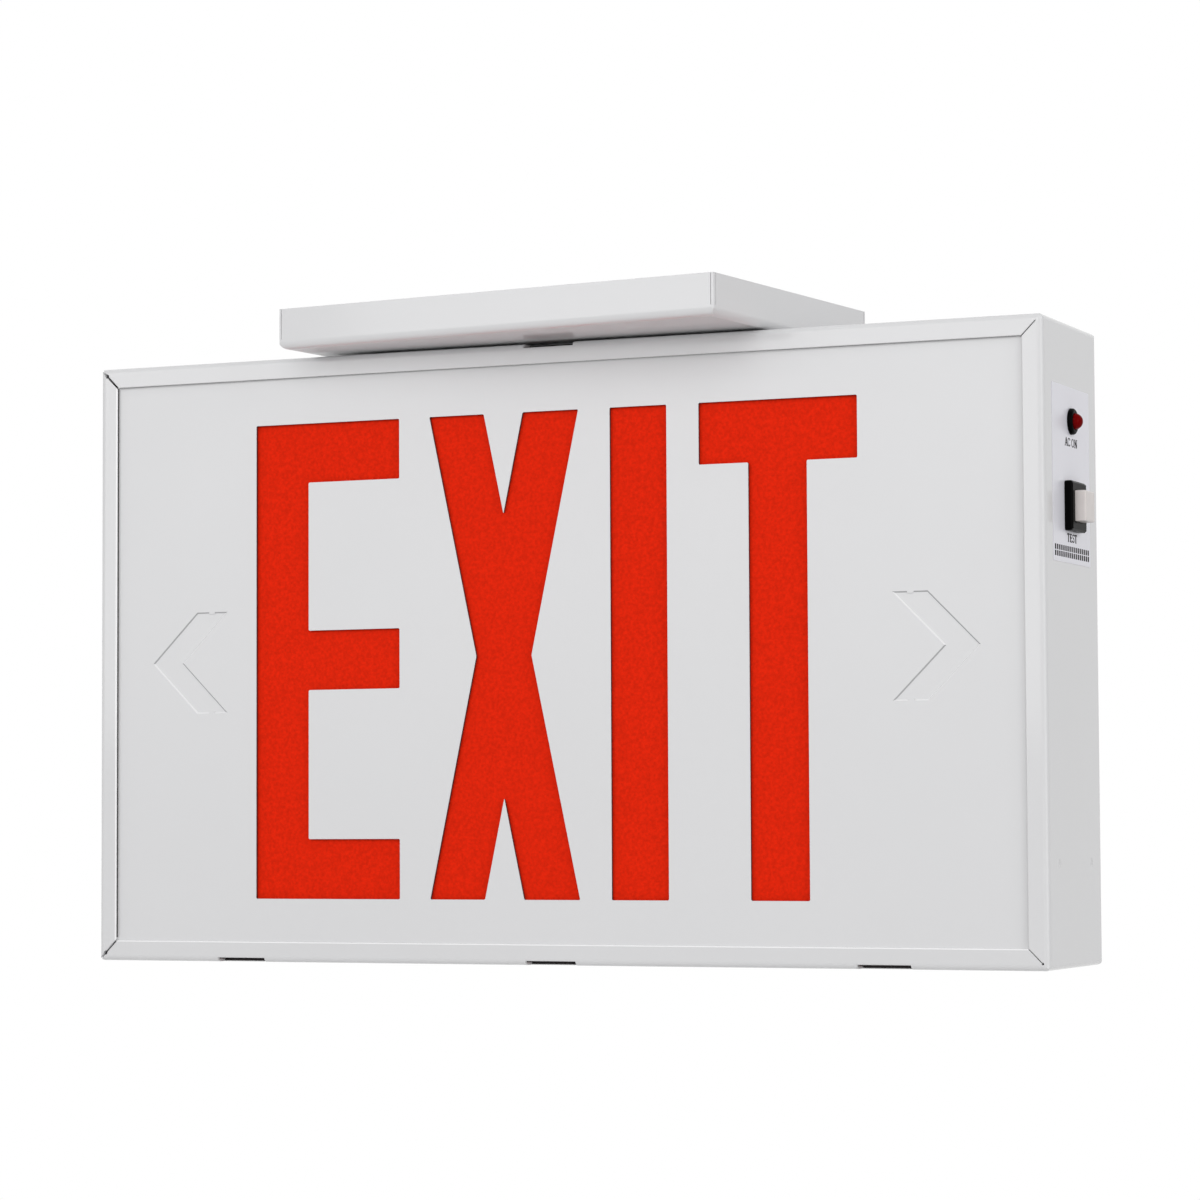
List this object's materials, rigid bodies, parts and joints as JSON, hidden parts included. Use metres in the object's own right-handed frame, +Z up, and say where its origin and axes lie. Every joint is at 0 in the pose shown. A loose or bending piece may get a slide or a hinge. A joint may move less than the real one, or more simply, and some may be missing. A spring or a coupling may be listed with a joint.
{
  "type": "emergency exit sign light",
  "caption": "Flat white steel box with a cut-out red word on its face, a folded ceiling canopy that turns on a stem, and a test button and lamp at one end.",
  "frame": {"origin": "middle of the housing's bottom face, halfway through its depth", "axes": "+X to the reader's right, +Y into the sign away from the reader, +Z up"},
  "size_m": [0.3305, 0.1196, 0.2075],
  "materials": {
    "white_paint": "gloss white stoving paint",
    "reflector_white": "matt white paint",
    "zinc_steel": "bright zinc plate",
    "red_acrylic": "translucent red acrylic with a fine matt grain",
    "green_board": "solder-masked laminate",
    "white_board": "white solder-masked laminate",
    "core_steel": "varnished laminations",
    "winding_tape": "yellow polyester tape",
    "component_black": "moulded epoxy",
    "can_sleeve": "shrunk sleeve",
    "sink_aluminium": "plain folded sheet",
    "terminal_green": "moulded nylon",
    "header_white": "moulded nylon",
    "battery_sleeve": "shrunk sleeve",
    "tie_white": "moulded nylon",
    "label_film": "printed film",
    "bezel_black": "moulded, slight gloss",
    "lamp_red": "clear red epoxy",
    "button_white": "moulded, satin",
    "contact_brass": "stamped",
    "spring_steel": "drawn wire",
    "lead_sleeve": "twin core in a grey sleeve",
    "light_emitter": "white case with yellow phosphor",
    "ground_green": "green dyed screw"
  },
  "bodies": {
    "sign": {"housing": "white_paint", "end_cap": "white_paint", "end_cap_screws": "zinc_steel", "face_plate": "white_paint", "red_diffuser": "red_acrylic", "upper_face_rail": "zinc_steel", "lower_face_rail": "zinc_steel", "back_plate": "white_paint", "upper_back_rail": "zinc_steel", "lower_back_rail": "zinc_steel", "reflector_pan": "reflector_white", "upper_light_board": "white_board", "lower_light_board": "white_board", "upper_leds": "light_emitter", "lower_leds": "light_emitter", "circuit_board": "green_board", "board_spacers": "header_white", "board_screws": "zinc_steel", "transformer_core": "core_steel", "transformer_winding": "winding_tape", "capacitors": "can_sleeve", "heat_sink": "sink_aluminium", "regulator": "component_black", "supply_terminals": "terminal_green", "lead_header": "header_white", "battery_bracket": "zinc_steel", "battery_pack": "battery_sleeve", "battery_tie": "tie_white", "side_label": "label_film", "indicator_bezel": "bezel_black", "indicator_lamp": "lamp_red", "switch_body": "bezel_black", "button_spring": "spring_steel", "switch_terminals": "contact_brass", "battery_lead": "lead_sleeve", "switch_lead": "lead_sleeve", "indicator_lead": "lead_sleeve", "upper_light_lead": "lead_sleeve", "lower_light_lead": "lead_sleeve", "stem": "zinc_steel", "lock_nuts": "zinc_steel", "spacer_washer": "zinc_steel", "crossbar": "zinc_steel", "ground_screw": "ground_green"},
    "button": {"test_button": "button_white", "contact_bridge": "contact_brass"},
    "canopy": {"canopy": "white_paint"}
  },
  "joints": [
    {"name": "test_button_press", "type": "slide", "parent": "sign", "child": "button", "axis": [-1, 0, 0], "range_m": [0, 0.0025], "stiffness_N_per_m": 400, "springref_m": -0.001, "deforming": ["button_spring"]},
    {"name": "canopy_swivel", "type": "hinge", "parent": "sign", "child": "canopy", "pos_m": [-0.0025, -0.0006, 0.1947], "axis": [0, 0, 1], "continuous": true}
  ]
}
